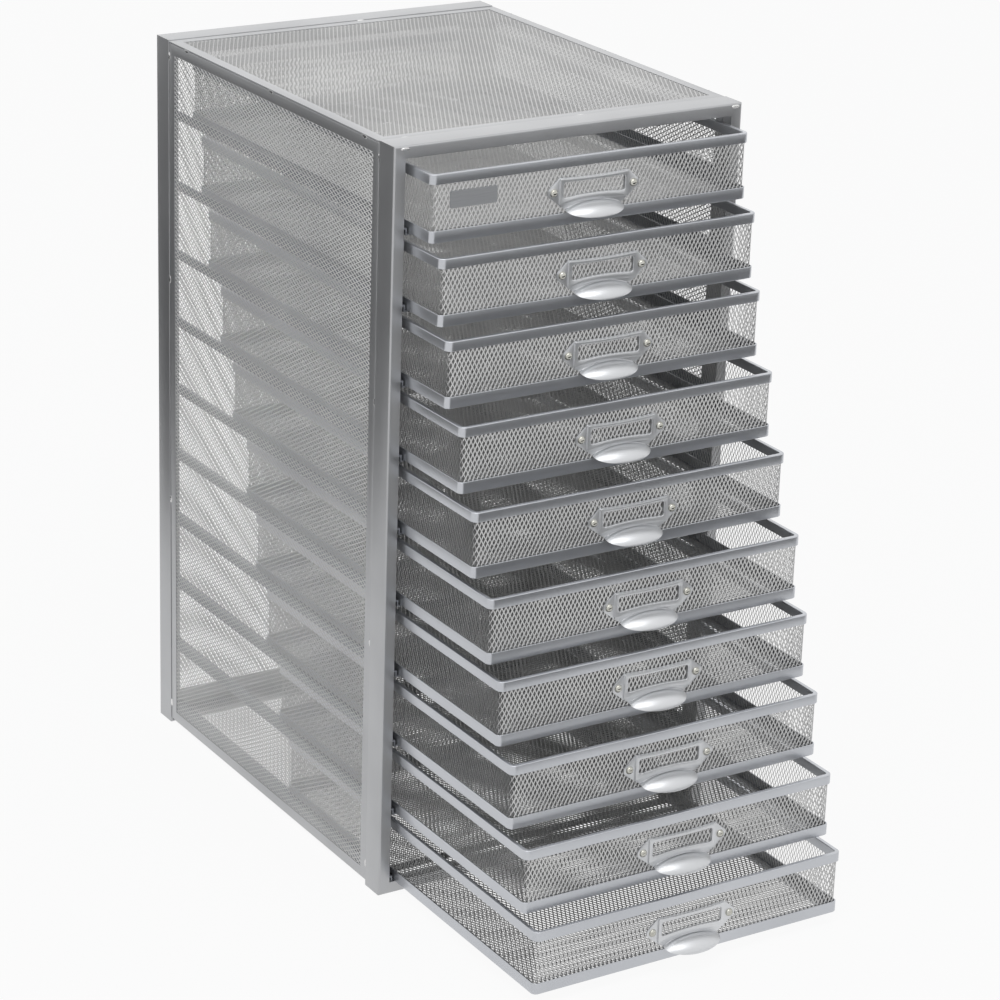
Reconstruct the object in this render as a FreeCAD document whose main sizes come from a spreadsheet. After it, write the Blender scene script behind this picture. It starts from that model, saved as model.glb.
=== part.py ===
import FreeCAD, Part
import math
import os

import Sketcher

# Desktop cabinet of ten shallow drawers in silver expanded metal.
# Two welded rectangles of angle iron, front and rear, are joined by framed panels of mesh and by
# ten pairs of stepped runners. Each drawer is a mesh tray with a folded rim round its mouth, an
# angle round its base, and a card frame with a finger cup riveted to its front.
# X runs across the front, Y into the depth and Z up. The origin is the middle of the underside of
# the front bottom rail, on the surface that the cabinet stands on.

SIZES = [
    ("case_width", 280.0),
    ("case_depth", 353.0),
    # angle iron of both frames: the leg runs along the case, the face across its front or back
    ("angle_leg", 20.0),
    ("angle_face", 8.8),
    ("angle_wall", 1.5),
    ("angle_bevel", 0.7),
    # mesh panels, whose border strip is folded over the mesh
    ("panel_border", 8.0),
    ("panel_gap", 0.4),
    ("panel_foot", 3.5),
    ("mesh_gauge", 0.5),
    # drawers, with the clearances inside the case, between two drawers and over the top one
    ("drawer_height", 47.0),
    ("drawer_side_room", 3.7),
    ("drawer_rear_room", 1.5),
    ("drawer_gap", 6.6),
    ("sill_clearance", 0.3),
    ("head_room", 4.7),
    ("mesh_clearance", 0.55),
    # rim folded over the mouth of a drawer
    ("rim_height", 7.0),
    ("rim_wall", 0.8),
    ("rim_round", 5.0),
    # angle round the base of a drawer
    ("base_height", 8.3),
    ("base_wall", 0.8),
    ("base_flange", 8.0),
    ("base_round", 2.0),
    ("base_setback", 0.2),
    # stepped runner
    ("runner_wall", 1.0),
    ("runner_step", 4.0),
    ("runner_ledge", 6.0),
    ("runner_upstand", 6.0),
    ("runner_side_clearance", 1.0),
    ("running_gap", 0.3),
    # card frame and finger cup
    ("pull_gauge", 1.0),
    ("frame_width", 55.0),
    ("frame_raise", 1.2),
    ("frame_bar", 2.4),
    ("frame_height", 18.4),
    ("frame_top_sag", 1.0),
    ("frame_foot_rise", 1.8),
    ("window_height", 11.6),
    ("ear_reach", 9.0),
    ("ear_tip_height", 4.0),
    ("plate_foot_width", 45.6),
    ("plate_foot_height", 3.2),
    ("cup_half_width", 25.4),
    ("cup_reach", 15.0),
    ("cup_height", 9.0),
    ("cup_gauge", 0.9),
    ("lip_drop", 4.5),
    # rivets, in the middle of the ears
    ("rivet_head_radius", 2.9),
    ("rivet_head_height", 2.2),
    ("rivet_head_bevel", 1.1),
    ("rivet_shank_radius", 1.5),
    ("rivet_hole_clearance", 0.1),
    ("rivet_tail_radius", 2.4),
    ("rivet_tail_height", 0.8),
    # bare plate on the front of the top drawer
    ("badge_width", 36.3),
    ("badge_height", 11.7),
    ("badge_gauge", 0.8),
    ("badge_round", 1.0),
    ("badge_side_room", 14.85),
    ("badge_below_rim", 18.6),
    # overrun of every through cut
    ("overrun", 1.0),
    # how far each drawer stands open, from the top one down
    ("open_01", 28.0),
    ("open_02", 42.3),
    ("open_03", 53.8),
    ("open_04", 73.8),
    ("open_05", 93.3),
    ("open_06", 116.3),
    ("open_07", 131.9),
    ("open_08", 150.1),
    ("open_09", 171.2),
    ("open_10", 187.2),
]
DRAWER_COUNT = 10

# The ten drawers repeat, so their round forms are drawn in flats: a bend in three, a rivet in eight,
# and the cup in twelve across and four outwards.
BEND_FLATS = 3
RIVET_FLATS = 8
CUP_FLATS = 12
CUP_RING_SHARES = (0, 0.26, 0.5, 0.72, 0.9)

# How much of the room that a pull has between the rims is under it.
PULL_FOOT_SHARE = 0.25


class Dim:
    """A length as a number and as the text of its spreadsheet expression."""

    def __init__(self, number, text):
        self.number = number
        self.text = text

    def __add__(self, other):
        other = dim(other)
        return Dim(self.number + other.number, f"({self.text} + {other.text})")

    def __sub__(self, other):
        other = dim(other)
        return Dim(self.number - other.number, f"({self.text} - {other.text})")

    def __mul__(self, factor):
        factor = dim(factor)
        return Dim(self.number * factor.number, f"({self.text} * {factor.text})")

    def __truediv__(self, divisor):
        divisor = dim(divisor)
        return Dim(self.number / divisor.number, f"({self.text} / {divisor.text})")

    def __neg__(self):
        return Dim(-self.number, f"(-1 * {self.text})")


def dim(value):
    return value if isinstance(value, Dim) else Dim(float(value), f"{value:.9f}")


doc = FreeCAD.newDocument("drawers")
sheet = doc.addObject("Spreadsheet::Sheet", "Sizes")
for row, (alias, number) in enumerate(SIZES, start=1):
    sheet.set(f"A{row}", alias)
    sheet.set(f"B{row}", str(number))
    sheet.setAlias(f"B{row}", alias)
doc.recompute()


def size(alias):
    return Dim(float(sheet.get(alias)), f"Sizes.{alias}")


def bind(thing, path, value):
    thing.setExpression(path, dim(value).text)


# Outlines. Each loop is a function that draws one closed outline into a sketch and ties its points
# to the sheet.

def vector(x, y):
    return FreeCAD.Vector(dim(x).number, dim(y).number, 0)


def hold_point(sketch, geometry, end, x, y):
    """Tie a point of the sketch to x, y from the origin."""
    for kind, value in (("DistanceX", x), ("DistanceY", y)):
        row = sketch.addConstraint(Sketcher.Constraint(kind, -1, 1, geometry, end, dim(value).number))
        bind(sketch, f"Constraints[{row}]", value)


def outline(*corners, bulges=None):
    """Edges between corners; bulges maps an edge's number to the rise of an arc to its left."""
    bulges = bulges or {}

    def draw(sketch):
        first = sketch.GeometryCount
        ends = []
        for index, corner in enumerate(corners):
            here = vector(*corner)
            there = vector(*corners[(index + 1) % len(corners)])
            rise = bulges.get(index)
            if rise is None:
                sketch.addGeometry(Part.LineSegment(here, there))
                ends.append((1, 2))
                continue
            run = there - here
            left = FreeCAD.Vector(-run.y, run.x, 0).normalize()
            sketch.addGeometry(Part.Arc(here, (here + there) * 0.5 + left * rise.number, there))
            near = sketch.getPoint(first + index, 1).distanceToPoint(here)
            far = sketch.getPoint(first + index, 2).distanceToPoint(here)
            ends.append((1, 2) if near < far else (2, 1))
        for index in range(len(corners)):
            following = (index + 1) % len(corners)
            sketch.addConstraint(Sketcher.Constraint(
                "Coincident", first + index, ends[index][1], first + following, ends[following][0]))
        for index, (x, y) in enumerate(corners):
            hold_point(sketch, first + index, ends[index][0], x, y)
        for index, rise in bulges.items():
            half = (corners[(index + 1) % len(corners)][0] - corners[index][0]) / 2
            radius = (half * half + rise * rise) / (rise * 2)
            if radius.number < 0:
                radius = -radius
            row = sketch.addConstraint(Sketcher.Constraint("Radius", first + index, radius.number))
            bind(sketch, f"Constraints[{row}]", radius)

    return draw


def rectangle(left, right, bottom, top):
    return outline((left, bottom), (right, bottom), (right, top), (left, top))


def bent(left, right, bottom, top, radius):
    """A rectangle whose corners are bends drawn in flats."""
    centres = [(right - radius, top - radius), (left + radius, top - radius),
               (left + radius, bottom + radius), (right - radius, bottom + radius)]
    corners = []
    for quarter, (x, y) in enumerate(centres):
        for flat in range(BEND_FLATS + 1):
            turn = math.pi / 2 * (quarter + flat / BEND_FLATS)
            corners.append((x + radius * math.cos(turn), y + radius * math.sin(turn)))
    return outline(*corners)


def flats(x, y, radius):
    """A rivet's regular outline round x, y."""
    turns = [math.pi * 2 * (corner + 0.5) / RIVET_FLATS for corner in range(RIVET_FLATS)]
    return outline(*[(x + radius * math.cos(turn), y + radius * math.sin(turn)) for turn in turns])


# Features. Every pad and cut starts at its level and grows along the plane's positive axis.

def new_body(name):
    body = doc.addObject("PartDesign::Body", name)
    body.Label = name
    return body


def add_sketch(body, plane, level, loops):
    sketch = body.newObject("Sketcher::SketchObject", "outline")
    origin_plane = next(f for f in body.Origin.OriginFeatures if f.Role == f"{plane}_Plane")
    sketch.AttachmentSupport = [(origin_plane, "")]
    sketch.MapMode = "FlatFace"
    bind(sketch, "AttachmentOffset.Base.z", -level if plane == "XZ" else level)
    for loop in loops:
        loop(sketch)
    return sketch


def pad(body, plane, level, length, *loops):
    feature_sketch = add_sketch(body, plane, dim(level), loops)
    feature = body.newObject("PartDesign::Pad", "pad")
    feature.Profile = feature_sketch
    feature.Reversed = plane == "XZ"
    bind(feature, "Length", length)
    return feature


def cut(body, plane, level, depth, *loops):
    feature_sketch = add_sketch(body, plane, dim(level), loops)
    feature = body.newObject("PartDesign::Pocket", "cut")
    feature.Profile = feature_sketch
    feature.Reversed = plane != "XZ"
    bind(feature, "Length", depth)
    return feature


def bevel(body, feature, setback, chosen):
    """Bevel the edges of a feature for whose midpoint and direction chosen() is true."""
    doc.recompute()
    names = []
    for number, edge in enumerate(feature.Shape.Edges, start=1):
        middle = edge.valueAt((edge.FirstParameter + edge.LastParameter) / 2)
        if chosen(middle, edge.tangentAt(edge.FirstParameter)):
            names.append(f"Edge{number}")
    chamfer = body.newObject("PartDesign::Chamfer", "bevel")
    chamfer.Base = (feature, names)
    bind(chamfer, "Size", setback)
    return chamfer


def origin_feature(body, role):
    return next(f for f in body.Origin.OriginFeatures if f.Role == role)


half_width = size("case_width") / 2
front = -size("angle_leg") / 2
rear = front + size("case_depth")
wall = size("angle_wall")
face = size("angle_face")
gap = size("panel_gap")
mesh = size("mesh_gauge")
overrun = size("overrun")
case_parts = []

# The bottom drawer just clears the front rail, the others follow at one pitch, and the case is as
# high as they need.
first_level = face + size("sill_clearance")
pitch = size("drawer_height") + size("drawer_gap")
top = first_level + pitch * (DRAWER_COUNT - 1) + size("drawer_height") + size("head_room") + face
drawer_half = half_width - face - size("drawer_side_room")
drawer_depth = size("case_depth") - wall - size("drawer_rear_room")
ledge_level = first_level - size("running_gap")
shelf_level = ledge_level + size("runner_step")
upstand_level = shelf_level + size("runner_upstand")


# Case

def angle_frame(name, near_side, face_side):
    """A mitred rectangle of angle iron: its legs form a shallow tube, its faces a flat ring."""
    body = new_body(name)
    leg = size("angle_leg")
    tube = pad(body, "XZ", near_side, leg, rectangle(-half_width, half_width, 0, top))
    face_level = face_side.number

    def is_heel(middle, direction):
        on_face = abs(middle.y - face_level) < wall.number
        along_depth = abs(direction.y) > abs(direction.x) + abs(direction.z)
        return middle.z > wall.number and (on_face or along_depth)

    bevel(body, tube, size("angle_bevel"), is_heel)
    faces_front = face_side.number == near_side.number
    hollow_start = near_side + wall if faces_front else near_side
    cut(body, "XZ", hollow_start, leg - wall,
        rectangle(wall - half_width, half_width - wall, wall, top - wall))
    cut(body, "XZ", near_side, leg, rectangle(face - half_width, half_width - face, face, top - face))
    case_parts.append(body)


def panel(name, plane, level, left, right, bottom, upper):
    """A sheet of mesh in the middle of a border strip that is folded over its edge."""
    body = new_body(name)
    border = size("panel_border")
    sheet_edge = (left + border, right - border, bottom + border, upper - border)
    pad(body, plane, level, wall, rectangle(left, right, bottom, upper), rectangle(*sheet_edge))
    pad(body, plane, level + (wall - mesh) / 2, mesh, rectangle(*sheet_edge))
    case_parts.append(body)


panel_front = front + size("angle_leg") + gap
panel_rear = rear - size("angle_leg") - gap
foot = size("panel_foot")
side_top = top - wall - gap
floor_half = half_width - wall - gap
back_half = half_width - face - gap
angle_frame("front_frame", front, front)
angle_frame("rear_frame", rear - size("angle_leg"), rear)
panel("side_panel_left", "YZ", -half_width, panel_front, panel_rear, foot, side_top)
panel("side_panel_right", "YZ", half_width - wall, panel_front, panel_rear, foot, side_top)
panel("top_panel", "XY", top - wall, -half_width, half_width, panel_front, panel_rear)
panel("bottom_panel", "XY", foot, -floor_half, floor_half, panel_front, panel_rear)
panel("back_panel", "XZ", rear - wall, -back_half, back_half, face + gap, top - face - gap)


# Runners

def runners(name, side):
    """Ten stepped strips on one side: an upstand on the panel, a shelf, a step down beside the
    drawer, and a ledge under its base."""
    strip = size("runner_wall")
    outer = half_width - wall
    web = drawer_half - size("base_setback") + size("runner_side_clearance")
    ledge_tip = web - size("runner_ledge")
    shelf_underside = shelf_level - strip
    ledge_underside = ledge_level - strip
    profile = [(outer, upstand_level), (outer - strip, upstand_level), (outer - strip, shelf_level),
               (web, shelf_level), (web, ledge_level), (ledge_tip, ledge_level),
               (ledge_tip, ledge_underside), (web + strip, ledge_underside),
               (web + strip, shelf_underside), (outer, shelf_underside)]
    body = new_body(name)
    body.AllowCompound = True
    runner = pad(body, "XZ", front + wall, size("case_depth") - wall * 2,
                 outline(*[(x * side, z) for x, z in profile]))
    rows = body.newObject("PartDesign::LinearPattern", "rows")
    rows.Originals = [runner]
    rows.Direction = (origin_feature(body, "Z_Axis"), [""])
    rows.Occurrences = DRAWER_COUNT
    bind(rows, "Length", pitch * (DRAWER_COUNT - 1))
    body.Tip = rows
    case_parts.append(body)


runners("runners_left", -1)
runners("runners_right", 1)


# One drawer, drawn once in its own frame: Y from the front of its rim, Z from its underside.

basket_inset = size("rim_wall") + size("mesh_clearance")
slot_inset = basket_inset + mesh + size("mesh_clearance")
drawer_top = size("drawer_height")
room_over_base = drawer_top - size("rim_height") - size("base_height")
pull_room = room_over_base - size("frame_height") - size("plate_foot_height")
plate_foot = size("base_height") + pull_room * PULL_FOOT_SHARE
frame_foot = plate_foot + size("plate_foot_height")
pull_top = frame_foot + size("frame_height")
cup_level = plate_foot - size("lip_drop")
rivet_level = pull_top - size("frame_height") / 2
frame_half = size("frame_width") / 2
rivet_half = frame_half + size("ear_reach") / 2
plate_back = basket_inset
plate_front = plate_back - size("pull_gauge")


def plan(inset, radius):
    """The drawer's outline seen from above, taken in on all sides."""
    return bent(inset - drawer_half, drawer_half - inset, inset, drawer_depth - inset, radius)


def rivet_outlines(radius):
    return [flats(-rivet_half, rivet_level, radius), flats(rivet_half, rivet_level, radius)]


rivet_hole = size("rivet_shank_radius") + size("rivet_hole_clearance")


def draw_basket():
    """The mesh tray: its floor, four walls and the holes for the rivets."""
    body = new_body("basket")
    floor = size("base_wall")
    height = drawer_top - size("rim_wall") - size("mesh_clearance") - floor
    corner = size("rim_round") - basket_inset
    pad(body, "XY", floor, height, plan(basket_inset, corner))
    cut(body, "XY", floor + mesh, height, plan(basket_inset + mesh, corner - mesh))
    cut(body, "XZ", plate_back - overrun, mesh + overrun * 2, *rivet_outlines(rivet_hole))
    return body


def draw_top_rim():
    """A strip folded over the mouth of the tray: a ring with a slot up its underside."""
    body = new_body("top_rim")
    rim = size("rim_wall")
    corner = size("rim_round")
    foot_level = drawer_top - size("rim_height")
    thickness = slot_inset + rim
    pad(body, "XY", foot_level, size("rim_height"), plan(dim(0), corner),
        plan(thickness, corner - thickness))
    cut(body, "XY", foot_level - overrun, size("rim_height") - rim + overrun,
        plan(rim, corner - rim), plan(slot_inset, corner - slot_inset))
    return body


def draw_base_rim():
    """An angle round the base: one leg up the outside of the mesh, one flange under it."""
    body = new_body("base_rim")
    strip = size("base_wall")
    setback = size("base_setback")
    leg = setback + strip
    flange = leg + size("base_flange")
    corner = size("base_round")
    pad(body, "XY", dim(0), size("base_height"), plan(setback, corner), plan(leg, corner - strip))
    pad(body, "XY", dim(0), strip, plan(setback, corner),
        rectangle(flange - drawer_half, drawer_half - flange, flange, drawer_depth - flange))
    return body


def cup_form(name, inset, start):
    """A quarter of an ellipsoid in flats, rising outwards from the front of the tray in rings. A
    skirt takes it down past the lip."""
    half_wide = (size("cup_half_width") - inset).number
    high = (size("cup_height") - inset).number
    reach = (size("cup_reach") - inset).number
    rings = []
    for share in CUP_RING_SHARES:
        shrink = math.cos(math.pi / 2 * share)
        level = plate_back.number - reach * math.sin(math.pi / 2 * share)
        turns = [math.pi * flat / CUP_FLATS for flat in range(CUP_FLATS + 1)]
        arch = [(half_wide * math.cos(turn), high * math.sin(turn)) for turn in turns]
        corners = [(half_wide, -overrun.number), *arch, (-half_wide, -overrun.number)]
        rings.append([FreeCAD.Vector(x * shrink, level, cup_level.number + z * shrink)
                      for x, z in corners])
    if start.number != plate_back.number:
        rings.insert(0, [FreeCAD.Vector(corner.x, start.number, corner.z) for corner in rings[0]])
    faces = [Part.Face(Part.makePolygon([*ring, ring[0]])) for ring in (rings[0], rings[-1])]
    for near, far in zip(rings, rings[1:]):
        for corner in range(len(near)):
            following = (corner + 1) % len(near)
            flat = [near[corner], near[following], far[following], far[corner], near[corner]]
            faces.append(Part.Face(Part.makePolygon(flat)))
    solid = Part.Solid(Part.makeShell(faces))
    form = doc.addObject("Part::Feature", name)
    form.Shape = solid if solid.Volume > 0 else solid.reversed()
    return form


def draw_pull():
    """The card frame, stamped in one with its cup: an eared plate, a raised frame round the window,
    and the finger cup, whose lip slopes down and outwards."""
    plate = new_body("plate")
    ear_half = frame_half + size("ear_reach")
    ear_upper = rivet_level + size("ear_tip_height") / 2
    ear_lower = rivet_level - size("ear_tip_height") / 2
    foot_half = size("plate_foot_width") / 2
    window_half = frame_half - size("frame_bar")
    window_top = pull_top - size("frame_bar")
    window_foot = window_top - size("window_height")
    through = size("pull_gauge") + overrun * 2
    right_side = [(foot_half, plate_foot), (frame_half, frame_foot), (ear_half, ear_lower),
                  (ear_half, ear_upper), (frame_half, pull_top)]
    left_side = [(-x, z) for x, z in reversed(right_side)]
    top_edge = len(right_side) - 1
    pad(plate, "XZ", plate_front, size("pull_gauge"),
        outline(*right_side, *left_side, bulges={top_edge: size("frame_top_sag")}))
    window = [(-window_half, window_foot), (window_half, window_foot),
              (window_half, window_top), (-window_half, window_top)]
    window_arch = {0: size("frame_foot_rise")}
    pad(plate, "XZ", plate_front - size("frame_raise"), size("frame_raise"),
        outline((-frame_half, frame_foot), (frame_half, frame_foot),
                (frame_half, pull_top), (-frame_half, pull_top),
                bulges={0: size("frame_foot_rise"), 2: size("frame_top_sag")}),
        outline(*window, bulges=window_arch))
    cut(plate, "XZ", plate_front - overrun, through, outline(*window, bulges=window_arch))
    cut(plate, "XZ", plate_front - overrun, through, *rivet_outlines(rivet_hole))
    below_lip = new_body("below_lip")
    lip_front = plate_back - size("cup_reach")
    lip_foot = cup_level - size("cup_height")
    lip_half = size("cup_half_width") + overrun
    pad(below_lip, "YZ", -lip_half, lip_half * 2,
        outline((lip_front, lip_foot), (plate_back, lip_foot), (plate_back, plate_foot),
                (lip_front, cup_level)))
    cup = doc.addObject("Part::Cut", "cup")
    cup.Base = cup_form("cup_outside", dim(0), plate_back)
    cup.Tool = below_lip
    stamped = doc.addObject("Part::MultiFuse", "stamped")
    stamped.Shapes = [plate, cup]
    hollowed = doc.addObject("Part::Cut", "pull")
    hollowed.Base = stamped
    hollowed.Tool = cup_form("cup_inside", size("cup_gauge"), plate_back + overrun)
    return hollowed


def draw_rivets():
    """Two domed rivets, each with its shank through plate and mesh and its tail set inside."""
    body = new_body("rivets")
    body.AllowCompound = True
    inside = basket_inset + mesh
    dome = plate_front - size("rivet_head_height")
    shank = size("rivet_shank_radius")
    head = pad(body, "XZ", dome, size("rivet_head_height"),
               *rivet_outlines(size("rivet_head_radius")))
    below_crown = (dome + size("rivet_head_bevel") / 2).number
    bevel(body, head, size("rivet_head_bevel"), lambda middle, direction: middle.y < below_crown)
    pad(body, "XZ", plate_front, inside - plate_front, *rivet_outlines(shank))
    pad(body, "XZ", inside, size("rivet_tail_height"), *rivet_outlines(size("rivet_tail_radius")))
    return body


def draw_name_plate():
    """The bare plate at the left of the top drawer's front."""
    body = new_body("name_plate")
    level = drawer_top - size("badge_below_rim")
    left = size("badge_side_room") - drawer_half
    half_high = size("badge_height") / 2
    pad(body, "XZ", plate_back - size("badge_gauge"), size("badge_gauge"),
        bent(left, left + size("badge_width"), level - half_high, level + half_high,
             size("badge_round")))
    return body


# The ten drawers repeat the drawn one at their levels, each pulled out by its own amount.

drawn = {"basket": draw_basket(), "top_rim": draw_top_rim(), "base_rim": draw_base_rim(),
         "pull": draw_pull(), "rivets": draw_rivets()}
name_plate = draw_name_plate()
drawer_parts = []


def repeat(name, original, number):
    """A copy of one drawn piece on the drawer of that number."""
    copy = doc.addObject("Part::Compound", name)
    copy.Label = name
    copy.Links = [original]
    bind(copy, "Placement.Base.y", front - size(f"open_{number:02d}"))
    bind(copy, "Placement.Base.z", first_level + pitch * (DRAWER_COUNT - number))
    drawer_parts.append(copy)


for number in range(1, DRAWER_COUNT + 1):
    for part, original in drawn.items():
        repeat(f"drawer_{number:02d}_{part}", original, number)
repeat("drawer_01_name_plate", name_plate, 1)


doc.recompute()
problems = [thing.Name for thing in doc.Objects
            if "Invalid" in thing.State or "Error" in thing.State]
sub_parts = case_parts + drawer_parts
for thing in sub_parts:
    if thing.Shape.isNull() or not thing.Shape.isValid() or not thing.Shape.Solids:
        problems.append(thing.Label)
if problems:
    raise RuntimeError(f"failed: {problems}")

os.makedirs("parts", exist_ok=True)
for thing in sub_parts:
    thing.Shape.exportStep(os.path.join("parts", thing.Label + ".step"))
    print(thing.Label, len(thing.Shape.Solids), round(thing.Shape.Volume, 1))
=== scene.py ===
"""Dresses the desktop cabinet of ten mesh drawers.

Every sheet of expanded metal becomes real open strands, every folded rim and angle gets its rolled
edges, and the card frames, finger cups and rivets get their pressed forms. Lengths are in metres.
X runs across the front, Y into the depth and Z up.
"""
import math

import bpy
import numpy as np
from mathutils import Matrix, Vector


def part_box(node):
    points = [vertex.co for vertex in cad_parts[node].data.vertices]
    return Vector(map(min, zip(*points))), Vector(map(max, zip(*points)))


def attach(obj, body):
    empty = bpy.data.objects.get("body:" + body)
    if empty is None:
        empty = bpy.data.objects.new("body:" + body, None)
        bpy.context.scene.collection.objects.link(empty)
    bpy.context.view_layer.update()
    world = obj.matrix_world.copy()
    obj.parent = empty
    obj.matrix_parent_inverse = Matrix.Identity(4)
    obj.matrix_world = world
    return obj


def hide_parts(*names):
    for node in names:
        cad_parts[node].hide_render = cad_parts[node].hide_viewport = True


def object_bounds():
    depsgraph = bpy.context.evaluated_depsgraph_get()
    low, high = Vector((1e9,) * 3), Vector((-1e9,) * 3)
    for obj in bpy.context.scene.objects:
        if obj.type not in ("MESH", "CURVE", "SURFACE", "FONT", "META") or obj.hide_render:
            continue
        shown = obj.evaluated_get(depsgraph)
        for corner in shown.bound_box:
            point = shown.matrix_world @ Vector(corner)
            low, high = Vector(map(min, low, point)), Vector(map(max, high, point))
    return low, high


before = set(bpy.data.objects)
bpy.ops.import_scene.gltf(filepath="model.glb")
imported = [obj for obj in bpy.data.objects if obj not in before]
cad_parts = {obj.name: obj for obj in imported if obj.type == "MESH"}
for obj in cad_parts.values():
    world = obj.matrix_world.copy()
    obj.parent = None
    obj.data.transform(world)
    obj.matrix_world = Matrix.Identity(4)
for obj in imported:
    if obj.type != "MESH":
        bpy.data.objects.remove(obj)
cad_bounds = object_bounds()

MM = 0.001
DRAWERS = 10

# expanded metal: one diamond is this long and this wide, drawn from strands of this section
DIAMOND_LONG = 6.17 * MM
DIAMOND_SHORT = 3.33 * MM
STRAND_WIDTH = 0.66 * MM
STRAND_DEPTH = 0.40 * MM
STRAND_TWIST = 0.20 * MM
BOND_SHARE = 0.05

# the mesh panels stand back this much from the angle iron, so a weld spot shows on the step
PANEL_STEP = 0.4 * MM

# folded strip and angle
RIM_ROLL = 0.55 * MM
BASE_ROLL = 0.5 * MM
ANGLE_HEEL = 1.3 * MM
BEND_STEPS = 8
BORDER_ROLL = 0.5 * MM
ANGLE_WALL = 1.5 * MM
ANGLE_FACE = 8.8 * MM
PANEL_STRIP = 8.0 * MM
STRIP_LAP = 2.0 * MM
RIM_ACROSS = 3.2 * MM
RIM_WALL = 0.8 * MM
RIM_CORNER = 5.0 * MM
BASE_WALL = 0.8 * MM
BASE_FLANGE = 8.8 * MM
BASE_CORNER = 4.0 * MM

# round edges of cut strip, thick and thin, and what the rounding of any outline is drawn in
CUT_EDGE = 0.3 * MM
THIN_EDGE = 0.2 * MM
ROLL_STEPS = 4
OUTLINE_STEP = 0.3 * MM
SHARP_ANGLE = math.radians(38)

# the mesh of a tray: the middle of its sheet, its corners, and how far its floor stops short
SHEET_MIDDLE = 0.25 * MM
TRAY_CORNER = 3.4 * MM
FLOOR_INSET = 1.2 * MM

# weld spots, and where they sit along the seams in mm
WELD_LENGTH = 6.0 * MM
WELD_WIDTH = 3.4 * MM
WELD_LEVELS = (540, 368, 190, 17)
WELD_PLACES = (30, 163, 294)
WELD_DROP = 2.0 * MM
TOP_WELD_PLACES = (-120, 19, 22)
WELD_ROUND = 20
WELD_RISE = 8
RIPPLES = 9
RIPPLE_DEPTH = 0.12
CORNER_WELD = (6.5 * MM, 2.6 * MM, 0.8 * MM)
CORNER_WELD_DROP = 2.2 * MM
CORNER_WELD_PLACES = (-131.6, 134.5)


# Meshes

def make_piece(name, body, material, parts, replaced=(), smooth=True):
    """One object from (points, faces) parts, with its place in its mesh, riding on a body."""
    points = np.concatenate([part[0] for part in parts])
    starts = np.cumsum([0] + [len(part[0]) for part in parts[:-1]])
    faces = np.concatenate([part[1] + start for part, start in zip(parts, starts)])
    mesh = bpy.data.meshes.new(name)
    mesh.from_pydata(points.tolist(), [], faces.tolist())
    mesh.validate()
    if smooth:
        mesh.shade_smooth()
        mesh.set_sharp_from_angle(angle=SHARP_ANGLE)
    mesh.materials.append(material)
    piece = bpy.data.objects.new(name, mesh)
    bpy.context.scene.collection.objects.link(piece)
    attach(piece, body)
    if replaced:
        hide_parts(*replaced)


def grid_faces(rows, columns, close_rows=False, close_columns=False):
    """Quads between neighbours of a grid of rows by columns points, closed round either way."""
    row = np.arange(rows if close_rows else rows - 1)
    column = np.arange(columns if close_columns else columns - 1)
    r, c = np.meshgrid(row, column, indexing="ij")
    next_r = (r + 1) % rows
    next_c = (c + 1) % columns
    corners = (r * columns + c, r * columns + next_c, next_r * columns + next_c, next_r * columns + c)
    return np.stack(corners, axis=-1).reshape(-1, 4)


def grid(points, close_rows=False, close_columns=False, flip=False):
    """A (points, faces) part from a grid of points of shape (rows, columns, 3)."""
    rows, columns, _ = points.shape
    faces = grid_faces(rows, columns, close_rows, close_columns)
    return points.reshape(-1, 3), faces[:, ::-1] if flip else faces


def rounded_loop(left, right, front, back, radius):
    """A rectangle's outline seen from above with round corners, anticlockwise from its front
    right corner. Each corner is a quarter circle, centre + radius * (cos, sin). Gives the points
    and the outward directions."""
    turn = np.linspace(-math.pi / 2, 0, BEND_STEPS + 1)
    places, outwards = [], []
    for quarter, (x, y) in enumerate(((right, front), (right, back), (left, back), (left, front))):
        angle = turn + quarter * math.pi / 2
        outward = np.stack([np.cos(angle), np.sin(angle)], axis=1)
        inward = np.array([radius if x == left else -radius, radius if y == front else -radius])
        places.append(np.array([x, y]) + inward + radius * outward)
        outwards.append(outward)
    return np.concatenate(places), np.concatenate(outwards)


def mitred_loop(left, right, low, high):
    """A rectangle's four corners and their mitre directions, which point outwards."""
    places = np.array([[right, low], [right, high], [left, high], [left, low]])
    outwards = np.array([[1, -1], [1, 1], [-1, 1], [-1, -1]], float)
    return places, outwards


def carried(profile, places, outwards, plane="XY", flip=False):
    """A closed profile carried round a loop: each point is place + out * outward, raised by up
    off the loop's plane, for the profile's pairs (out, up)."""
    profile = np.asarray(profile)
    flat = places[:, None] + profile[None, :, :1] * outwards[:, None]
    up = np.broadcast_to(profile[None, :, 1], flat.shape[:2])
    order = {"XY": (flat[..., 0], flat[..., 1], up),
             "XZ": (flat[..., 0], up, flat[..., 1]),
             "YZ": (up, flat[..., 0], flat[..., 1])}[plane]
    return grid(np.stack(order, axis=-1), close_rows=True, close_columns=True, flip=flip)


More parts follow.
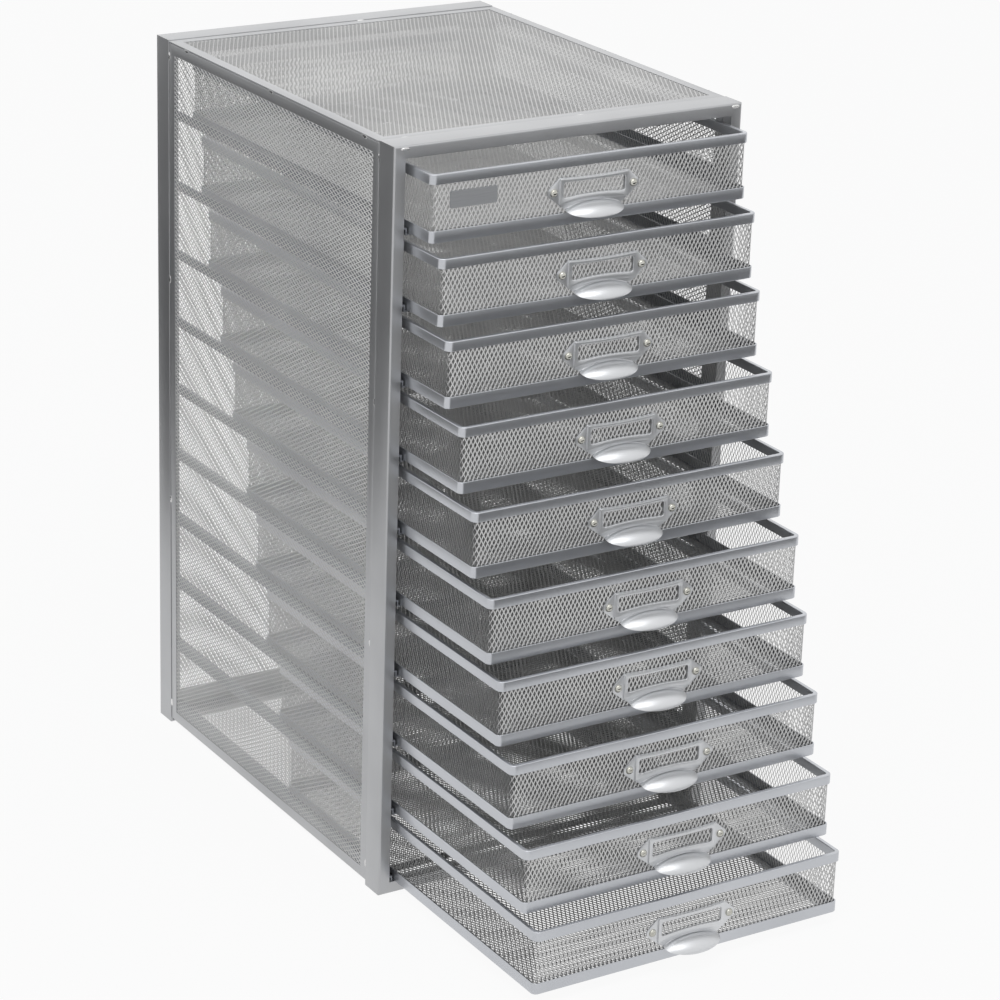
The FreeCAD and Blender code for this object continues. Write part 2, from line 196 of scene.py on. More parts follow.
def rolled(corners, rolls):
    """A closed profile whose corners are rolled to the given radii. Each roll is an arc that meets
    both sides at radius * tan(half the turn) from the corner."""
    corners = np.asarray(corners, float)
    points = []
    for index, radius in enumerate(rolls):
        here = corners[index]
        before = corners[index - 1] - here
        after = corners[(index + 1) % len(corners)] - here
        if radius == 0:
            points.append(here[None])
            continue
        before = before / np.linalg.norm(before)
        after = after / np.linalg.norm(after)
        half = math.acos(np.clip(before @ after, -1, 1)) / 2
        middle = (before + after) / np.linalg.norm(before + after)
        centre = here + middle * radius / math.sin(half)
        start = here + before * radius / math.tan(half) - centre
        end = here + after * radius / math.tan(half) - centre
        share = np.linspace(0, 1, ROLL_STEPS + 1)[:, None]
        chord = start * (1 - share) + end * share
        points.append(centre + radius * chord / np.linalg.norm(chord, axis=1, keepdims=True))
    return np.concatenate(points)


# Expanded metal

def strand_field(length_a, length_b, open_back=False, lean=1):
    """The strands of a sheet, as points (a, b, out) and faces. Strand m zigzags along b between
    a = m and m + 1 half diamonds, turning every half diamond of b, and neighbours meet at their
    turns. Its section is a triangle, twisted about b so that it leans against a or along it."""
    half_a = DIAMOND_SHORT / 2
    half_b = DIAMOND_LONG / 2
    lines = round(length_a / half_a / 2) * 2
    turns = round(length_b / half_b)
    half_a = length_a / lines
    half_b = length_b / turns
    line, turn = np.meshgrid(np.arange(lines), np.arange(turns + 1), indexing="ij")
    side = (line + turn) % 2
    centre = (line + side + (1 - 2 * side) * BOND_SHARE) * half_a
    slant = math.cos(math.atan(half_a / half_b))
    half_wide = STRAND_WIDTH / 2 / slant
    section = np.array([[-half_wide, -lean * STRAND_TWIST], [half_wide, lean * STRAND_TWIST],
                        [0, -STRAND_DEPTH]])
    a = centre[..., None] + section[:, 0]
    b = np.broadcast_to((turn * half_b)[..., None], a.shape)
    out = np.broadcast_to(section[:, 1], a.shape)
    points = np.stack([a, b, out], axis=-1)
    per_line = grid_faces(turns + 1, 3, close_columns=True)
    if open_back:
        per_line = per_line.reshape(turns, 3, 4)[:, [0, 1]].reshape(-1, 4)
    faces = per_line[None] + (np.arange(lines) * (turns + 1) * 3)[:, None, None]
    return points.reshape(-1, 3), faces.reshape(-1, 4)


def flat_mesh(origin, along_a, along_b, length_a, length_b, outward, lean=1):
    """Expanded metal on a flat patch from a corner, along two directions. Nobody sees its back
    close to, so each strand keeps two sides of three."""
    points, faces = strand_field(length_a, length_b, open_back=True, lean=lean)
    directions = np.array([along_a, along_b, outward], float)
    turned = np.linalg.det(directions) > 0
    return np.asarray(origin) + points @ directions, faces if turned else faces[:, ::-1]


def wall_mesh(places, outwards, low, high):
    """Expanded metal bent round a tray's four walls: a runs along the loop, b up the wall."""
    places = np.concatenate([places, places[:1]])
    outwards = np.concatenate([outwards, outwards[:1]])
    run = np.concatenate([[0], np.cumsum(np.linalg.norm(np.diff(places, axis=0), axis=1))])
    points, faces = strand_field(run[-1], high - low)
    a = points[:, 0] % run[-1]
    x, y, out_x, out_y = (np.interp(a, run, values) for values in (*places.T, *outwards.T))
    out = points[:, 2]
    return np.stack([x + out * out_x, y + out * out_y, low + points[:, 1]], axis=1), faces


# Materials

def add(tree, kind, **values):
    """A shader node with its properties and, by socket name, its inputs."""
    node = tree.nodes.new(kind)
    for key, value in values.items():
        if key.startswith("in_"):
            node.inputs[key[3:].replace("_", " ")].default_value = value
        else:
            setattr(node, key, value)
    return node


def new_material(name):
    """A material with its node tree and its shader."""
    material = bpy.data.materials.new(name)
    material.use_nodes = True
    tree = material.node_tree
    return material, tree, tree.nodes["Principled BSDF"]


def noise(tree, place, scale, detail, **values):
    """A noise texture's value at a place."""
    texture = add(tree, "ShaderNodeTexNoise", in_Scale=scale, in_Detail=detail, **values)
    tree.links.new(place, texture.inputs["Vector"])
    return texture.outputs["Fac"]


def tint(tree, shader, value, dark, light, start=0.0, end=1.0):
    """Colours the shader from dark to light, as the value goes from start to end."""
    tone = add(tree, "ShaderNodeValToRGB")
    for element, position, colour in zip(tone.color_ramp.elements, (start, end), (dark, light)):
        element.position = position
        element.color = (*colour, 1)
    tree.links.new(value, tone.inputs["Fac"])
    tree.links.new(tone.outputs["Color"], shader.inputs["Base Color"])


def emboss(tree, shader, height, strength, distance):
    """Bumps the shader's surface by the given height."""
    bump = add(tree, "ShaderNodeBump", in_Strength=strength, in_Distance=distance)
    tree.links.new(height, bump.inputs["Height"])
    tree.links.new(bump.outputs["Normal"], shader.inputs["Normal"])


def sprayed_metal(name, dark, light, roughness, metallic, grain=1.0):
    """Silver spray over sheet metal: slow clouds of tone and a fine orange-peel grain."""
    material, tree, shader = new_material(name)
    place = add(tree, "ShaderNodeTexCoord").outputs["Object"]
    clouds = noise(tree, place, 9.0, 3.0, in_Roughness=0.6)
    tint(tree, shader, clouds, dark, light, start=0.36, end=0.66)
    peel = noise(tree, place, 2600.0, 2.0, in_Roughness=0.55)
    sheen = add(tree, "ShaderNodeMapRange", in_To_Min=roughness - 0.05, in_To_Max=roughness + 0.07)
    tree.links.new(peel, sheen.inputs["Value"])
    tree.links.new(sheen.outputs["Result"], shader.inputs["Roughness"])
    emboss(tree, shader, peel, strength=0.12 * grain, distance=0.0002)
    shader.inputs["Metallic"].default_value = metallic
    return material


def polished_rivet(name):
    """Bright plated steel with faint tarnish."""
    material, tree, shader = new_material(name)
    place = add(tree, "ShaderNodeTexCoord").outputs["Object"]
    tarnish = noise(tree, place, 420.0, 2.0)
    tint(tree, shader, tarnish, (0.36, 0.35, 0.30), (0.66, 0.66, 0.62))
    shader.inputs["Metallic"].default_value = 1.0
    shader.inputs["Roughness"].default_value = 0.12
    return material


def brushed_sheet(name):
    """Thin sheet brushed along X: noise stretched into fine lines."""
    material, tree, shader = new_material(name)
    place = add(tree, "ShaderNodeTexCoord").outputs["Object"]
    stretch = add(tree, "ShaderNodeMapping")
    stretch.inputs["Scale"].default_value = (60.0, 4200.0, 4200.0)
    tree.links.new(place, stretch.inputs["Vector"])
    lines = noise(tree, stretch.outputs["Vector"], 1.0, 3.0)
    tint(tree, shader, lines, (0.50, 0.51, 0.53), (0.66, 0.67, 0.69))
    emboss(tree, shader, lines, strength=0.08, distance=0.0001)
    shader.inputs["Metallic"].default_value = 0.8
    shader.inputs["Roughness"].default_value = 0.38
    return material


def repaint(node, material):
    """Gives a CAD node that keeps its shape one of the materials made here."""
    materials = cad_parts[node].data.materials
    materials.clear()
    materials.append(material)


frame_paint = sprayed_metal("frame_paint", (0.43, 0.435, 0.445), (0.49, 0.495, 0.505), 0.33, 0.85)
rim_paint = sprayed_metal("rim_paint", (0.54, 0.555, 0.585), (0.59, 0.605, 0.635), 0.30, 0.85)
mesh_paint = sprayed_metal("mesh_paint", (0.50, 0.50, 0.50), (0.58, 0.58, 0.575), 0.28, 0.85)
runner_paint = sprayed_metal("runner_paint", (0.27, 0.285, 0.31), (0.33, 0.345, 0.37), 0.42, 0.70)
cup_paint = sprayed_metal("cup_paint", (0.64, 0.65, 0.665), (0.70, 0.71, 0.725), 0.36, 0.85, grain=0.5)
rivet_metal = polished_rivet("rivet_metal")
# lighter than the frame paint: a painted highlight that makes the weld spots glint; their low
# roughness is real shine
weld_painted_highlight = sprayed_metal("weld_painted_highlight", (0.62, 0.62, 0.62), (0.80, 0.80, 0.79), 0.20, 0.9)
plate_metal = brushed_sheet("plate_metal")


# Case

def node_box(node):
    """A CAD node's box as six numbers: left, right, front, back, low and high."""
    low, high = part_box(node)
    return low.x, high.x, low.y, high.y, low.z, high.z


def angle_iron(node, face_front):
    """One rectangle of angle iron, mitred at its corners: an L whose heel is rolled, carried round
    the case's front or back outline."""
    left, right, front, back, low, high = node_box(node)
    if face_front:
        near, far, inner = front, back, front + ANGLE_WALL
    else:
        near, far, inner = back, front, back - ANGLE_WALL
    # pairs of (out from the outline, place along Y), from the heel round the section
    section = rolled([(0, near), (0, far), (-ANGLE_WALL, far), (-ANGLE_WALL, inner),
                      (-ANGLE_FACE, inner), (-ANGLE_FACE, near)],
                     [ANGLE_HEEL, CUT_EDGE, CUT_EDGE, 0, CUT_EDGE, CUT_EDGE])
    part = carried(section, *mitred_loop(left, right, low, high), plane="XZ", flip=face_front)
    make_piece(f"{node}_angle", "case", frame_paint, [part], [node])


def mesh_panel(node, plane, long_way):
    """One panel of the case: expanded metal, with its long way along the given axis, in a strip
    folded over its edges."""
    low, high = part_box(node)
    low, high = np.array(low), np.array(high)
    thin = {"YZ": 0, "XZ": 1, "XY": 2}[plane]
    flat = [axis for axis in range(3) if axis != thin]
    middle = sum(cad_bounds, start=cad_bounds[0] * 0) / 2
    facing = 1 if (low[thin] + high[thin]) / 2 > middle[thin] else -1
    if facing > 0:
        high[thin] -= PANEL_STEP
    else:
        low[thin] += PANEL_STEP
    loop = mitred_loop(low[flat[0]], high[flat[0]], low[flat[1]], high[flat[1]])
    section = rolled([(0, low[thin]), (0, high[thin]), (-PANEL_STRIP, high[thin]),
                      (-PANEL_STRIP, low[thin])],
                     [BORDER_ROLL] * 2 + [THIN_EDGE] * 2)
    border = carried(section, *loop, plane=plane, flip=plane != "XZ")
    make_piece(f"{node}_border", "case", frame_paint, [border], [node])
    inset = PANEL_STRIP - STRIP_LAP
    a_axis = next(axis for axis in flat if axis != long_way)
    origin = low.copy()
    origin[flat] += inset
    origin[thin] = (low[thin] + high[thin]) / 2
    unit = np.eye(3)
    size = high - low - 2 * inset
    sheet = flat_mesh(origin, unit[a_axis], unit[long_way], size[a_axis], size[long_way],
                      unit[thin] * facing, lean=-1 if plane == "YZ" else 1)
    make_piece(f"{node}_mesh", "case", mesh_paint, [sheet], smooth=False)


angle_iron("front_frame", True)
angle_iron("rear_frame", False)
mesh_panel("side_panel_left", "YZ", 1)
mesh_panel("side_panel_right", "YZ", 1)
mesh_panel("top_panel", "XY", 1)
mesh_panel("bottom_panel", "XY", 1)
mesh_panel("back_panel", "XZ", 2)
repaint("runners_left", runner_paint)
repaint("runners_right", runner_paint)


def weld_spot(centre, normal, along, length, width, height):
    """A weld spot: a flattened dome, (cos v cos u, cos v sin u, sin v) stretched to its length,
    width and height, with ripples across its length."""
    turn = np.linspace(0, 2 * math.pi, WELD_ROUND, endpoint=False)
    rise = np.linspace(0, math.pi / 2, WELD_RISE)
    u, v = np.meshgrid(turn, rise, indexing="xy")
    along, normal = np.array(along, float), np.array(normal, float)
    across = np.cross(normal, along)
    ripple = 1 - RIPPLE_DEPTH * (0.5 + 0.5 * np.cos(RIPPLES * np.cos(u) * np.cos(v)))
    points = (np.asarray(centre) + (length / 2 * np.cos(v) * np.cos(u))[..., None] * along
              + (width / 2 * np.cos(v) * np.sin(u))[..., None] * across
              + (height * np.sin(v) * ripple)[..., None] * normal)
    return grid(points, close_columns=True)


def case_welds():
    """Weld spots that join the panels to the angle iron, and one at each upper front corner."""
    left, right, front, back, _, high = node_box("front_frame")
    panel_front, panel_back = node_box("side_panel_left")[2:4]
    front_seam, rear_seam = (back + panel_front) / 2, (node_box("rear_frame")[2] + panel_back) / 2
    spots = []
    for side in (left, right):
        facing = (1 if side > 0 else -1, 0, 0)
        step = side - facing[0] * PANEL_STEP
        for seam in (front_seam, rear_seam):
            for level in WELD_LEVELS:
                spots.append(weld_spot((step, seam, level * MM), facing, (0, 0, 1),
                                       WELD_LENGTH, WELD_WIDTH, PANEL_STEP))
        for place in WELD_PLACES:
            spots.append(weld_spot((step, place * MM, high - WELD_DROP), facing, (0, 1, 0),
                                   WELD_LENGTH, WELD_WIDTH, PANEL_STEP))
    for place, seam in zip(TOP_WELD_PLACES, (front_seam, front_seam, rear_seam)):
        spots.append(weld_spot((place * MM, seam, high - PANEL_STEP), (0, 0, 1), (1, 0, 0),
                               WELD_LENGTH, WELD_WIDTH, PANEL_STEP))
    for place in CORNER_WELD_PLACES:
        spots.append(weld_spot((place * MM, front, high - CORNER_WELD_DROP), (0, -1, 0), (1, 0, 0),
                               *CORNER_WELD))
    # the weld spots' lighter colour is a painted highlight
    make_piece("case_welds", "case", weld_painted_highlight, spots)


case_welds()


# Drawers

def tray(drawer):
    """The tray of expanded metal: one sheet bent round the walls and one on the floor."""
    left, right, front, back, low, high = node_box(f"{drawer}_basket")
    middle = SHEET_MIDDLE
    loop = rounded_loop(left + middle, right - middle, front + middle, back - middle, TRAY_CORNER)
    walls = wall_mesh(*loop, low + middle, high - middle)
    floor = flat_mesh((left + FLOOR_INSET, front + FLOOR_INSET, low + middle), (1, 0, 0), (0, 1, 0),
                      right - left - 2 * FLOOR_INSET, back - front - 2 * FLOOR_INSET, (0, 0, 1))
    make_piece(f"{drawer}_tray", drawer, mesh_paint, [walls, floor],
               [f"{drawer}_basket"], smooth=False)


def mouth_rim(drawer):
    """The strip folded over the tray's mouth: a rolled channel, open downwards."""
    left, right, front, back, low, high = node_box(f"{drawer}_top_rim")
    inner = RIM_WALL - RIM_ACROSS
    loop = rounded_loop(left, right, front, back, RIM_CORNER)
    section = rolled([(0, low), (0, high), (-RIM_ACROSS, high), (-RIM_ACROSS, low), (inner, low),
                      (inner, high - RIM_WALL), (-RIM_WALL, high - RIM_WALL), (-RIM_WALL, low)],
                     [THIN_EDGE, RIM_ROLL, RIM_ROLL, THIN_EDGE, 0, 0, 0, 0])
    make_piece(f"{drawer}_mouth_rim", drawer, rim_paint,
               [carried(section, *loop, flip=True)], [f"{drawer}_top_rim"])


def foot_rim(drawer):
    """The angle round the tray's base: a leg up the outside and a flange under the floor."""
    left, right, front, back, low, high = node_box(f"{drawer}_base_rim")
    loop = rounded_loop(left, right, front, back, BASE_CORNER)
    section = rolled([(0, low), (0, high), (-BASE_WALL, high), (-BASE_WALL, low + BASE_WALL),
                      (-BASE_FLANGE, low + BASE_WALL), (-BASE_FLANGE, low)],
                     [BASE_ROLL, CUT_EDGE, 0, 0, THIN_EDGE, 0])
    make_piece(f"{drawer}_foot_rim", drawer, rim_paint,
               [carried(section, *loop, flip=True)], [f"{drawer}_base_rim"])


# Card frame with its finger cup, in the drawer's frame: X across, Z up from its underside

FRAME_HALF = 27.5 * MM
FRAME_TOP = 33.2 * MM
FRAME_FOOT = 14.0 * MM
FRAME_BAR = 2.8 * MM
WINDOW_FOOT = 18.4 * MM
WINDOW_TOP = 30.0 * MM
RIVET_LEVEL = 23.2 * MM
RIVET_HALF = 32.0 * MM
RIVET_RADIUS = 2.75 * MM
EAR_HALF = 36.5 * MM
PLATE_FOOT = 10.8 * MM
PLATE_FOOT_HALF = 22.8 * MM
CUP_HALF = 25.4 * MM
CUP_LEVEL = 6.3 * MM
CUP_HEIGHT = 9.0 * MM
CUP_GAUGE = 0.8 * MM
PLATE_GAUGE = 1.0 * MM
FRAME_RAISE = 1.2 * MM
PLATE_MARGIN = 0.25 * MM
BEAD_HALF = 0.42 * MM
TOP_SAG = 1.0 * MM
FOOT_RISE = 1.8 * MM
EAR_TIP_HALF = 2.0 * MM
BAR_CORNER = 1.0 * MM
BAR_CLEARANCE = PLATE_MARGIN * 0.9
BAR_FLARE = 0.02 * MM
BAR_BEVEL = 0.3 * MM
WINDOW_CORNER = 1.9 * MM

# in mm: how the ears' corners are rolled, from the foot to the top; the plate's edge as pairs (in
# from its outline, behind its face); the bar's outer side as pairs (in from its outline, out of
# the plate's face); and its inner side as pairs (out from the window, behind the bar's face)
EAR_ROLLS = (0.6, 0.4, 1.9, 1.9, 0.8)
PLATE_EDGE = ((0, 0.2), (0.06, 0.06), (0.22, 0))
BAR_OUTER_SIDE = ((0.02, 0.5), (0.06, 0.95), (0.14, 1.12))
BAR_INNER_SIDE = ((0.14, 0.08), (0.05, 0.25), (0, 0.6))

# a rivet behind its dome as pairs (radius, place along Y) in mm, from the plate's face and to its tail
RIVET_NECK = ((2.9, -0.2), (2.9, 0), (1.5, 0))
RIVET_TAIL = ((1.5, -0.8), (2.3, -0.8), (2.4, -0.5), (2.2, -0.1), (0.02, 0))
RIVET_BROW = 0.25 * MM

# how finely the pressed forms are drawn, and the ends that the cup and its bead stop short of
PLATE_ROUND = 360
CUP_RINGS = 26
CUP_RING_POINTS = 49
CUP_SPACING = 0.85
CUP_TIP = 0.015
BEAD_START = 0.62
BEAD_POINTS = 60
BEAD_ROUND = 7
RIVET_ROUND = 28
DOME_RINGS = 9


def bowed(points, sag, rise):
    """Bows a card frame's level edges: the upper ones sag and the lower ones rise towards the
    middle, both by 1 - (x / half width) squared."""
    share = np.clip(1 - (points[:, 0] / FRAME_HALF) ** 2, 0, 1)
    upper = points[:, 1] > RIVET_LEVEL
    return np.stack([points[:, 0], points[:, 1] + share * np.where(upper, -sag, rise)], axis=1)


def divided(points):
    """A closed outline with further points along its straight runs."""
    following = np.roll(points, -1, axis=0)
    lengths = np.linalg.norm(following - points, axis=1)
    counts = np.maximum(1, np.ceil(lengths / OUTLINE_STEP)).astype(int)
    return np.concatenate([here + (there - here) * (np.arange(count) / count)[:, None]
                           for here, there, count in zip(points, following, counts)])


def seen_round(points, turns):
    """An outline's points in given directions from the middle of the card frame."""
    offset = points - np.array([0, RIVET_LEVEL])
    angle = np.arctan2(offset[:, 1], offset[:, 0])
    order = np.argsort(angle)
    return np.interp(turns, angle[order], np.linalg.norm(offset, axis=1)[order], period=2 * math.pi)


def cup_arch_reach(turns):
    """How far the cup's arch is from the middle of the card frame, in given directions. On the
    ray (r cos, r sin) it solves the ellipse's quadratic for r, and is endless where it misses."""
    cosine, sine = np.cos(turns), np.sin(turns)
    drop = RIVET_LEVEL - CUP_LEVEL
    a = (cosine / CUP_HALF) ** 2 + (sine / CUP_HEIGHT) ** 2
    b = 2 * drop * sine / CUP_HEIGHT ** 2
    c = (drop / CUP_HEIGHT) ** 2 - 1
    inside = b * b - 4 * a * c
    reach = (-b - np.sqrt(np.maximum(inside, 0))) / (2 * a)
    return np.where((inside > 0) & (reach > 0), reach, np.inf)


def pull_rings(plate_back):
    """The stamped plate as rings (reach, place along Y): out over its face, up and over the raised
    frame, and down through the window."""
    turns = np.linspace(-math.pi, math.pi, PLATE_ROUND, endpoint=False)
    ear = [(PLATE_FOOT_HALF, PLATE_FOOT), (FRAME_HALF, FRAME_FOOT),
           (EAR_HALF, RIVET_LEVEL - EAR_TIP_HALF), (EAR_HALF, RIVET_LEVEL + EAR_TIP_HALF),
           (FRAME_HALF, FRAME_TOP)]
    ears = ear + [(-x, z) for x, z in reversed(ear)]
    rolls = [roll * MM for roll in EAR_ROLLS + EAR_ROLLS[::-1]]
    plate = bowed(divided(rolled(ears, rolls)), TOP_SAG, 0)
    plate_reach = np.minimum(seen_round(plate, turns), cup_arch_reach(turns))

    def bar(inset):
        half = FRAME_HALF - inset
        upper = FRAME_TOP - PLATE_MARGIN - inset
        box = [(half, FRAME_FOOT + inset), (half, upper), (-half, upper), (-half, FRAME_FOOT + inset)]
        outline = bowed(divided(rolled(box, [BAR_CORNER] * 4)), TOP_SAG, FOOT_RISE)
        return np.minimum(seen_round(outline, turns), plate_reach - BAR_CLEARANCE)

    def window(outset):
        half = FRAME_HALF - FRAME_BAR + outset
        box = [(half, WINDOW_FOOT - outset), (half, WINDOW_TOP + outset),
               (-half, WINDOW_TOP + outset), (-half, WINDOW_FOOT - outset)]
        outline = bowed(divided(rolled(box, [WINDOW_CORNER] * 4)), TOP_SAG / 2, FOOT_RISE)
        return seen_round(outline, turns)

    face = plate_back - PLATE_GAUGE
    top = face - FRAME_RAISE
    rings = [(plate_reach, plate_back)]
    rings += [(plate_reach - inset * MM, face + behind * MM) for inset, behind in PLATE_EDGE]
    rings += [(bar(0) + BAR_FLARE, face)]
    rings += [(bar(inset * MM), face - out * MM) for inset, out in BAR_OUTER_SIDE]
    rings += [(bar(BAR_BEVEL), top), (window(BAR_BEVEL), top)]
    rings += [(window(outset * MM), top + behind * MM) for outset, behind in BAR_INNER_SIDE]
    rings += [(window(0), plate_back)]
    reach = np.stack([ring[0] for ring in rings])
    place = np.array([ring[1] for ring in rings])[:, None] * np.ones_like(reach)
    return np.stack([reach * np.cos(turns), place, RIVET_LEVEL + reach * np.sin(turns)], axis=-1)


def cup_shell(plate_back, cup_front):
    """The finger cup: a quarter of an ellipsoid above a sloping lip. Ring r of it, for r from 0 to
    a quarter turn, is an arc of the ellipse shrunk by cos r at reach * sin r, and starts where that
    ellipse meets the lip's plane. Outside and inside make one closed loop per ring."""
    depth = np.linspace(0, 1, CUP_RINGS)[:, None] ** CUP_SPACING * (math.pi / 2 - CUP_TIP)
    share = np.linspace(0, 1, CUP_RING_POINTS)[None]
    full_reach = plate_back - cup_front
    sides = []
    for inset in (0, CUP_GAUGE):
        reach = full_reach - inset
        out = reach * np.sin(depth)
        half_wide = (CUP_HALF - inset) * np.cos(depth)
        high = (CUP_HEIGHT - inset) * np.cos(depth)
        lip = (PLATE_FOOT - CUP_LEVEL) * (1 - out / full_reach)
        start = np.arcsin(np.clip(lip / high, -1, 1))
        turn = start + (math.pi - 2 * start) * share
        sides.append(np.stack([half_wide * np.cos(turn), plate_back - out + 0 * turn,
                               CUP_LEVEL + high * np.sin(turn)], axis=-1))
    outside, inside = sides
    return np.concatenate([outside, inside[:, ::-1]], axis=1)


def pull(drawer):
    """Card frame and finger cup of one drawer, with a fine bead along the cup's arch."""
    _, _, cup_front, plate_back, _, _ = node_box(f"{drawer}_pull")
    underside = node_box(f"{drawer}_base_rim")[4]
    plate = pull_rings(plate_back)
    cup = cup_shell(plate_back, cup_front)
    turn = np.linspace(BEAD_START, math.pi - BEAD_START, BEAD_POINTS)
    places = np.stack([CUP_HALF * np.cos(turn), CUP_LEVEL + CUP_HEIGHT * np.sin(turn)], axis=1)
    across = np.stack([np.cos(turn) / CUP_HALF, np.sin(turn) / CUP_HEIGHT], axis=1)
    across /= np.linalg.norm(across, axis=1, keepdims=True)
    round_bead = np.linspace(0, math.pi, BEAD_ROUND)
    flat = places[:, None] + BEAD_HALF * np.cos(round_bead)[None, :, None] * across[:, None]
    front = plate_back - PLATE_GAUGE - BEAD_HALF * np.sin(round_bead) + 0 * flat[..., 0]
    bead = np.stack([flat[..., 0], front, flat[..., 1]], axis=-1)
    parts = [grid(plate, close_rows=True, close_columns=True), grid(bead, flip=True),
             grid(cup, close_columns=True, flip=True)]
    parts = [(points + np.array([0, 0, underside]), faces) for points, faces in parts]
    make_piece(f"{drawer}_card_frame", drawer, cup_paint, parts, [f"{drawer}_pull"])


def rivets(drawer):
    """Two domed rivets. Each is a profile of (radius, place along Y) turned round its axis."""
    _, _, head, tail, _, _ = node_box(f"{drawer}_rivets")
    plate_back = node_box(f"{drawer}_pull")[3]
    face = plate_back - PLATE_GAUGE
    brow = face - RIVET_BROW
    dome = np.linspace(0, math.pi / 2, DOME_RINGS)[:, None]
    cap = np.concatenate([RIVET_RADIUS * np.sin(dome), brow - (brow - head) * np.cos(dome)], axis=1)
    shank = [(radius * MM, face + place * MM) for radius, place in RIVET_NECK]
    shank += [(radius * MM, tail + place * MM) for radius, place in RIVET_TAIL]
    profile = np.concatenate([cap, shank])
    turn = np.linspace(0, 2 * math.pi, RIVET_ROUND, endpoint=False)
    level = node_box(f"{drawer}_base_rim")[4] + RIVET_LEVEL
    parts = []
    for side in (-RIVET_HALF, RIVET_HALF):
        radius = profile[:, :1]
        points = np.stack([side + radius * np.cos(turn), profile[:, 1:] + 0 * turn,
                           level + radius * np.sin(turn)], axis=-1)
        parts.append(grid(points, close_columns=True))
    make_piece(f"{drawer}_domed_rivets", drawer, rivet_metal, parts,
               [f"{drawer}_rivets"])


for number in range(1, DRAWERS + 1):
    drawer = f"drawer_{number:02d}"
    tray(drawer)
    mouth_rim(drawer)
    foot_rim(drawer)
    pull(drawer)
    rivets(drawer)
repaint("drawer_01_name_plate", plate_metal)


# Stage

FLOOR_HALF = 6.0
FLOOR_LEVEL = -0.2 * MM
CARD_LEVEL = -0.1 * MM
FLOOR_TONE = 0.8
FLOOR_SEEN = 0.93
# the colour of the painted reflection: dark cards that only mirrored rays see
PAINTED_REFLECTION_TONE = 0.05
WORLD_LIGHT = 0.45


def seen_rays(tree):
    """1 for the rays that show the surroundings: those from the camera, mirrored ones and those
    through something clear. 0 for the rays that light the object."""
    rays = add(tree, "ShaderNodeLightPath")
    total = rays.outputs["Is Camera Ray"]
    for kind in ("Is Glossy Ray", "Is Transmission Ray"):
        both = add(tree, "ShaderNodeMath", operation="MAXIMUM")
        tree.links.new(total, both.inputs[0])
        tree.links.new(rays.outputs[kind], both.inputs[1])
        total = both.outputs["Value"]
    return total


def stage_plane(name, left, right, front, back, level, material):
    """A level rectangle that belongs to the stage."""
    mesh = bpy.data.meshes.new(name)
    mesh.from_pydata([(left, front, level), (right, front, level), (right, back, level),
                      (left, back, level)], [], [(0, 1, 2, 3)])
    mesh.materials.append(material)
    plane = bpy.data.objects.new(name, mesh)
    bpy.context.scene.collection.objects.link(plane)


def make_floor():
    """A white floor that pales into the white surroundings and keeps the object's shadow."""
    material, tree, _ = new_material("sweep")
    tree.nodes.clear()
    matt = add(tree, "ShaderNodeBsdfDiffuse", in_Color=(FLOOR_TONE,) * 3 + (1,))
    white = add(tree, "ShaderNodeEmission", in_Color=(1, 1, 1, 1), in_Strength=1.0)
    seen = add(tree, "ShaderNodeMath", operation="MULTIPLY")
    seen.inputs[1].default_value = FLOOR_SEEN
    mix = add(tree, "ShaderNodeMixShader")
    output = add(tree, "ShaderNodeOutputMaterial")
    tree.links.new(seen_rays(tree), seen.inputs[0])
    tree.links.new(seen.outputs["Value"], mix.inputs["Fac"])
    tree.links.new(matt.outputs["BSDF"], mix.inputs[1])
    tree.links.new(white.outputs["Emission"], mix.inputs[2])
    tree.links.new(mix.outputs["Shader"], output.inputs["Surface"])
    stage_plane("floor", -FLOOR_HALF, FLOOR_HALF, -FLOOR_HALF, FLOOR_HALF, FLOOR_LEVEL, material)


def painted_reflection_card(name, left, right, front, back):
    """A dark card on the floor that only mirrored rays see: a painted reflection, which darkens what
    the metal mirrors. Upright faces mirror it at their upper ends, and the white floor at their feet.
    Only mirrored rays see it, so it is in no picture and throws no shadow."""
    material, tree, _ = new_material(name)
    tree.nodes.clear()
    dark = add(tree, "ShaderNodeBsdfDiffuse", in_Color=(PAINTED_REFLECTION_TONE,) * 3 + (1,))
    clear = add(tree, "ShaderNodeBsdfTransparent")
    rays = add(tree, "ShaderNodeLightPath")
    mix = add(tree, "ShaderNodeMixShader")
    output = add(tree, "ShaderNodeOutputMaterial")
    tree.links.new(rays.outputs["Is Glossy Ray"], mix.inputs["Fac"])
    tree.links.new(clear.outputs["BSDF"], mix.inputs[1])
    tree.links.new(dark.outputs["BSDF"], mix.inputs[2])
    tree.links.new(mix.outputs["Shader"], output.inputs["Surface"])
    stage_plane(name, left, right, front, back, CARD_LEVEL, material)


def make_world():
    """Dim, even surroundings for the light, and white ones for the rays that show them."""
    world = bpy.data.worlds.new("studio")
    bpy.context.scene.world = world
    world.use_nodes = True
    tree = world.node_tree
    tree.nodes.clear()
    output = add(tree, "ShaderNodeOutputWorld")
    lit = add(tree, "ShaderNodeBackground", in_Color=(0.95, 0.97, 1.0, 1), in_Strength=WORLD_LIGHT)
    seen = add(tree, "ShaderNodeBackground", in_Color=(1, 1, 1, 1), in_Strength=1.0)
    mix = add(tree, "ShaderNodeMixShader")
    tree.links.new(seen_rays(tree), mix.inputs["Fac"])
    tree.links.new(lit.outputs["Background"], mix.inputs[1])
    tree.links.new(seen.outputs["Background"], mix.inputs[2])
    tree.links.new(mix.outputs["Shader"], output.inputs["Surface"])


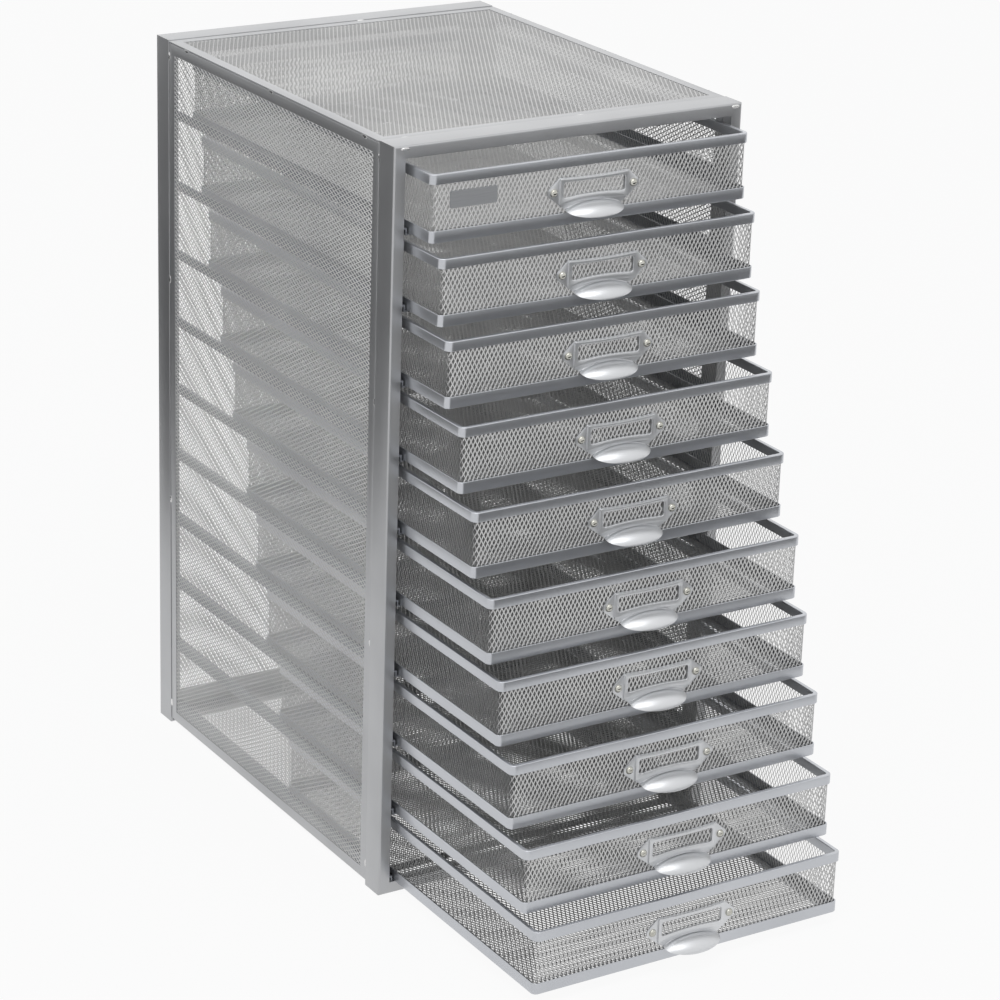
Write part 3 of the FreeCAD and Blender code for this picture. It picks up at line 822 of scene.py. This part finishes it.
def soft_light(name, place, target, size, watts):
    """A square soft box aimed at a point."""
    light = bpy.data.lights.new(name, "AREA")
    light.shape = "SQUARE"
    light.size = size
    light.energy = watts
    lamp = bpy.data.objects.new(name, light)
    bpy.context.scene.collection.objects.link(lamp)
    back = np.array(place, float) - np.array(target, float)
    back /= np.linalg.norm(back)
    side = np.cross([0, 0, 1], back)
    side /= np.linalg.norm(side)
    up = np.cross(back, side)
    turned = np.eye(4)
    turned[:3, 0], turned[:3, 1], turned[:3, 2], turned[:3, 3] = side, up, back, place
    lamp.matrix_world = Matrix(turned.tolist())


def make_camera():
    """The photograph's camera, solved from the corners of the case and of the drawers."""
    azimuth, elevation, roll = (math.radians(angle) for angle in (-31.46, 21.11, 1.63))
    place = np.array([-1203.52, -1830.59, 1119.18]) * MM
    focal_pixels = 3310.09
    centre_pixels = 450.0
    picture_pixels = 1000.0
    back = np.array([math.sin(azimuth) * math.cos(elevation), -math.cos(azimuth) * math.cos(elevation),
                     math.sin(elevation)])
    right = np.cross([0, 0, 1], back)
    right /= np.linalg.norm(right)
    up = np.cross(back, right)
    turned = np.eye(4)
    turned[:3, 0] = math.cos(roll) * right + math.sin(roll) * up
    turned[:3, 1] = math.cos(roll) * up - math.sin(roll) * right
    turned[:3, 2] = back
    turned[:3, 3] = place
    camera = bpy.data.cameras.new("camera")
    camera.sensor_width = 36.0
    camera.lens = focal_pixels / picture_pixels * camera.sensor_width
    camera.shift_x = (picture_pixels / 2 - centre_pixels) / picture_pixels
    view = bpy.data.objects.new("camera", camera)
    bpy.context.scene.collection.objects.link(view)
    view.matrix_world = Matrix(turned.tolist())
    bpy.context.scene.camera = view


make_floor()
# painted reflection: two dark cards that only mirrored rays see darken the metal's reflections behind
# and in front of the case
painted_reflection_card("painted_reflection_behind", -3.0, -0.35, 0.70, 3.0)
painted_reflection_card("painted_reflection_in_front", -0.2, 3.0, -3.0, -0.60)
make_world()
soft_light("overhead", (-0.25, -0.6, 1.9), (0, -0.1, 0.2), 1.2, 8)
soft_light("backdrop", (1.0, 2.9, 1.75), (0, 0.1, 0.3), 2.4, 4)
soft_light("fill_left", (-1.9, -0.9, 1.9), (0, 0.1, 0.3), 1.4, 6)
make_camera()
bpy.context.scene.view_settings.view_transform = "Standard"
